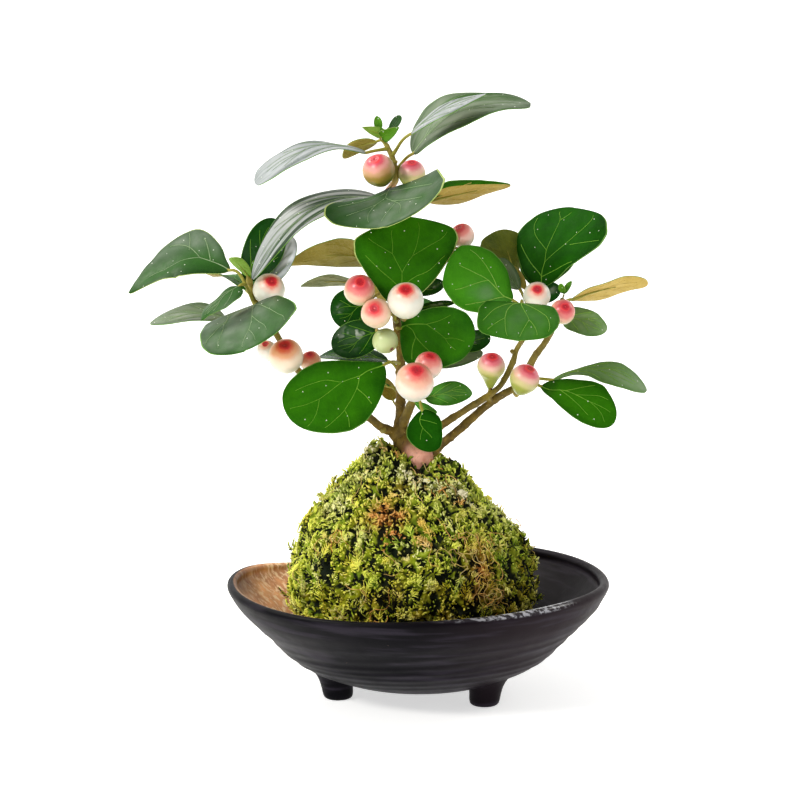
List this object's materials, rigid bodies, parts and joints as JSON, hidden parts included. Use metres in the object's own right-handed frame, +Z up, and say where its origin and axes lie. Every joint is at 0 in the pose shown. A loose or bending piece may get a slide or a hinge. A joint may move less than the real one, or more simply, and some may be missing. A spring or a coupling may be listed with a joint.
{
  "type": "kokedama moss ball plant",
  "caption": "Dwarf fig with round leathery leaves and small figs, growing out of a moss ball that sits in a dark shallow footed ceramic dish, for display on a table or shelf.",
  "frame": {"origin": "on the ground under the middle of the whole plant", "axes": "+Z up along the trunk, -Y towards the front of the picture, +X to its right"},
  "size_m": [0.2077, 0.1538, 0.2419],
  "materials": {
    "ceramic": "satin",
    "moss": "matte",
    "soil": "matte",
    "bark": "matte",
    "leaf_green": "gloss",
    "leaf_dark": "gloss",
    "leaf_silver": "gloss",
    "leaf_olive": "satin",
    "leaf_yellow": "satin",
    "fig_skin": "satin"
  },
  "bodies": {
    "root": {"branch_left": "bark", "branch_right_low": "bark", "branch_right_mid": "bark", "branch_right_upper": "bark", "dish": "ceramic", "fig_crown_left": "fig_skin", "fig_crown_right": "fig_skin", "fig_hidden": "fig_skin", "fig_left_low": "fig_skin", "fig_left_red": "fig_skin", "fig_left_upper": "fig_skin", "fig_left_white": "fig_skin", "fig_low_behind": "fig_skin", "fig_low_front": "fig_skin", "fig_mid_brown": "fig_skin", "fig_mid_left": "fig_skin", "fig_mid_right": "fig_skin", "fig_right_fork": "fig_skin", "fig_right_outer": "fig_skin", "fig_right_stalk": "fig_skin", "fig_right_upper": "fig_skin", "fig_unripe": "fig_skin", "leaf_center": "leaf_green", "leaf_center_low": "leaf_green", "leaf_center_right": "leaf_green", "leaf_crown_back": "leaf_silver", "leaf_crown_left": "leaf_silver", "leaf_crown_right": "leaf_silver", "leaf_crown_small": "leaf_olive", "leaf_left_blue": "leaf_silver", "leaf_left_front": "leaf_green", "leaf_left_inner": "leaf_dark", "leaf_left_outer": "leaf_green", "leaf_left_rear": "leaf_silver", "leaf_left_small": "leaf_green", "leaf_low_center_right": "leaf_green", "leaf_low_front_small": "leaf_green", "leaf_low_left_front": "leaf_green", "leaf_low_left_rear": "leaf_dark", "leaf_low_right": "leaf_green", "leaf_low_right_upper": "leaf_silver", "leaf_mid_left_dark": "leaf_dark", "leaf_mid_left_gloss": "leaf_dark", "leaf_mid_left_rear": "leaf_olive", "leaf_mid_left_thin": "leaf_olive", "leaf_right_front": "leaf_green", "leaf_right_low_rear": "leaf_silver", "leaf_right_rear": "leaf_olive", "leaf_right_tip": "leaf_yellow", "leaf_right_upper": "leaf_green", "leaf_top_front": "leaf_green", "leaf_top_right_rear": "leaf_olive", "leaf_upper_left_long": "leaf_silver", "moss_cover": "moss", "shoot_crown": "leaf_green", "shoot_left": "leaf_green", "shoot_right": "leaf_green", "soil_core": "soil", "stem_front": "bark", "trunk": "bark"}
  },
  "joints": []
}
